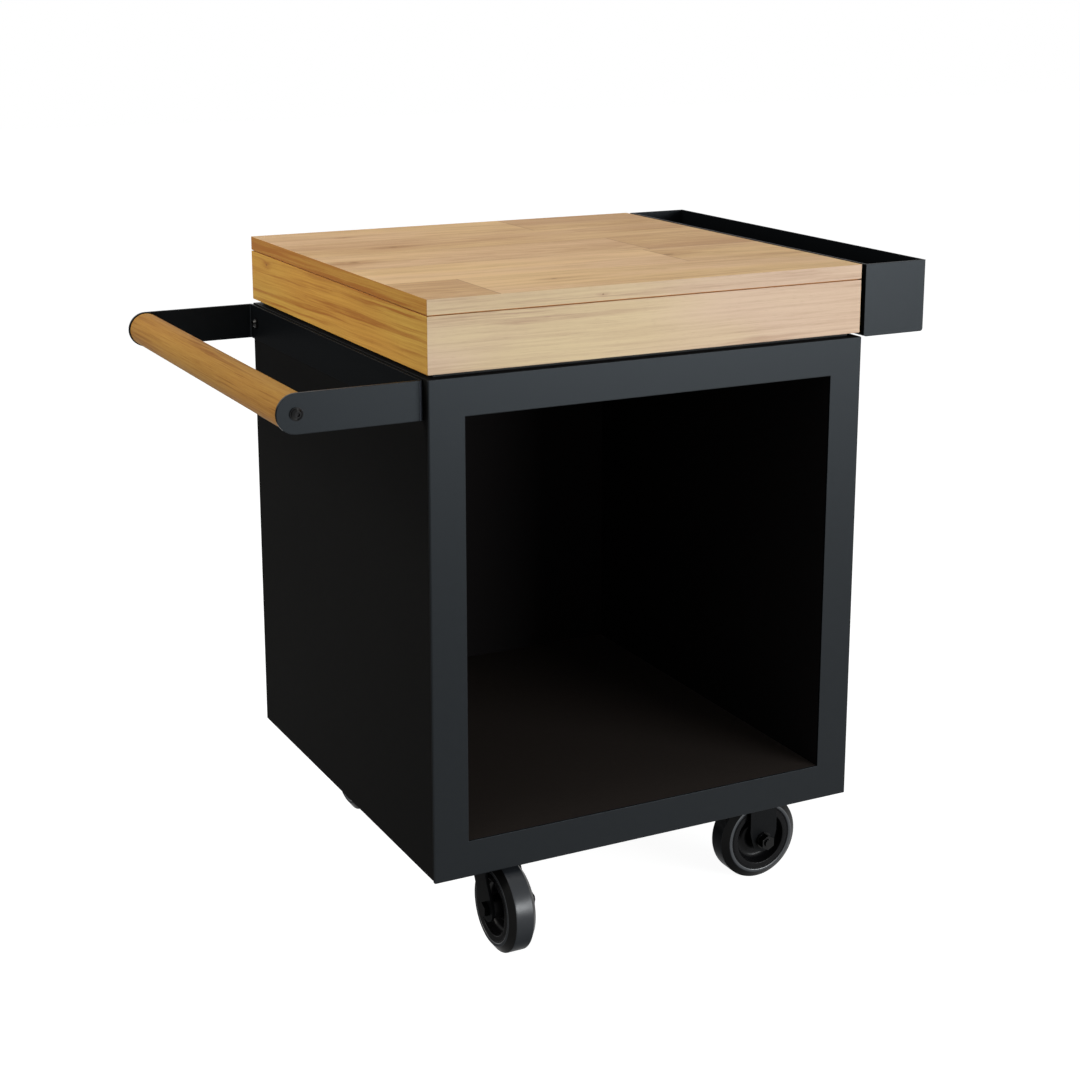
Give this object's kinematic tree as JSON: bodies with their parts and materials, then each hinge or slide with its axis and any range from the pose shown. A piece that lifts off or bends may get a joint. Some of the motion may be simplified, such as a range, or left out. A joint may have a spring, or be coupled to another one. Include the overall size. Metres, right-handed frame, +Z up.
{
  "type": "prep table",
  "caption": "Rolling outdoor prep table: steel cabinet with open storage, solid wood worktop, side planter, wooden push handle, swivel and rigid casters.",
  "frame": {"origin": "middle of the table's footprint on the floor", "axes": "+X to the right along the worktop from handle to planter, +Y to the back, away from the storage opening, +Z up"},
  "size_m": [0.9448, 0.6984, 0.898],
  "materials": {
    "frame_steel": "satin powder coat, dark blue-grey",
    "panel_steel": "satin powder coat, near black",
    "liner_steel": "satin powder coat, near black",
    "worktop_wood": "oiled hardwood",
    "handle_wood": "oiled hardwood",
    "caster_steel": "satin black powder coat",
    "black_fasteners": "black oxide",
    "bearing_steel": "polished",
    "wheel_core_plastic": "matte black",
    "tyre_rubber": "dark grey rubber"
  },
  "bodies": {
    "root": {"front_frame": "frame_steel", "left_side_panel": "panel_steel", "right_side_panel": "panel_steel", "back_panel": "panel_steel", "top_deck": "panel_steel", "liner_left": "liner_steel", "liner_right": "liner_steel", "liner_floor": "liner_steel", "liner_ceiling": "liner_steel", "liner_back": "liner_steel", "front_base_channel": "panel_steel", "rear_base_channel": "panel_steel", "back_panel_rivets": "panel_steel", "board_row_1": "worktop_wood", "board_row_2": "worktop_wood", "board_row_3": "worktop_wood", "board_row_4": "worktop_wood", "board_row_5": "worktop_wood", "front_apron": "worktop_wood", "rear_apron": "worktop_wood", "left_apron": "worktop_wood", "right_apron": "worktop_wood", "corner_blocks": "worktop_wood", "worktop_spacers": "panel_steel", "worktop_screws": "black_fasteners", "planter_trough": "frame_steel", "planter_front_plate": "frame_steel", "planter_rear_plate": "frame_steel", "planter_fixings": "black_fasteners", "handle_bracket": "frame_steel", "handle_bar": "handle_wood", "handle_screws": "black_fasteners", "front_left_top_plate": "caster_steel", "front_left_kingpin": "caster_steel", "back_left_top_plate": "caster_steel", "back_left_kingpin": "caster_steel", "front_right_bracket": "caster_steel", "front_right_axle": "black_fasteners", "front_right_bush": "bearing_steel", "back_right_bracket": "caster_steel", "back_right_axle": "black_fasteners", "back_right_bush": "bearing_steel", "caster_bolts": "black_fasteners"},
    "front_left_swivel": {"front_left_fork": "caster_steel", "front_left_balls": "bearing_steel", "front_left_axle": "black_fasteners", "front_left_bush": "bearing_steel"},
    "back_left_swivel": {"back_left_fork": "caster_steel", "back_left_balls": "bearing_steel", "back_left_axle": "black_fasteners", "back_left_bush": "bearing_steel"},
    "front_left_wheel": {"front_left_wheel_core": "wheel_core_plastic", "front_left_tyre": "tyre_rubber"},
    "back_left_wheel": {"back_left_wheel_core": "wheel_core_plastic", "back_left_tyre": "tyre_rubber"},
    "front_right_wheel": {"front_right_wheel_core": "wheel_core_plastic", "front_right_tyre": "tyre_rubber"},
    "back_right_wheel": {"back_right_wheel_core": "wheel_core_plastic", "back_right_tyre": "tyre_rubber"}
  },
  "joints": [
    {"name": "front_left_swivel_turn", "type": "hinge", "parent": "root", "child": "front_left_swivel", "pos_m": [-0.1666, -0.24775, 0.155], "axis": [0, 0, 1], "continuous": true},
    {"name": "front_left_wheel_spin", "type": "hinge", "parent": "front_left_swivel", "child": "front_left_wheel", "pos_m": [-0.1666, -0.28675, 0.0625], "axis": [1, 0, 0], "continuous": true},
    {"name": "back_left_swivel_turn", "type": "hinge", "parent": "root", "child": "back_left_swivel", "pos_m": [-0.1666, 0.27425, 0.155], "axis": [0, 0, 1], "continuous": true},
    {"name": "back_left_wheel_spin", "type": "hinge", "parent": "back_left_swivel", "child": "back_left_wheel", "pos_m": [-0.1666, 0.23525, 0.0625], "axis": [1, 0, 0], "continuous": true},
    {"name": "front_right_wheel_spin", "type": "hinge", "parent": "root", "child": "front_right_wheel", "pos_m": [0.2554, -0.24775, 0.0625], "axis": [0, 1, 0], "continuous": true},
    {"name": "back_right_wheel_spin", "type": "hinge", "parent": "root", "child": "back_right_wheel", "pos_m": [0.2554, 0.27425, 0.0625], "axis": [0, 1, 0], "continuous": true}
  ]
}
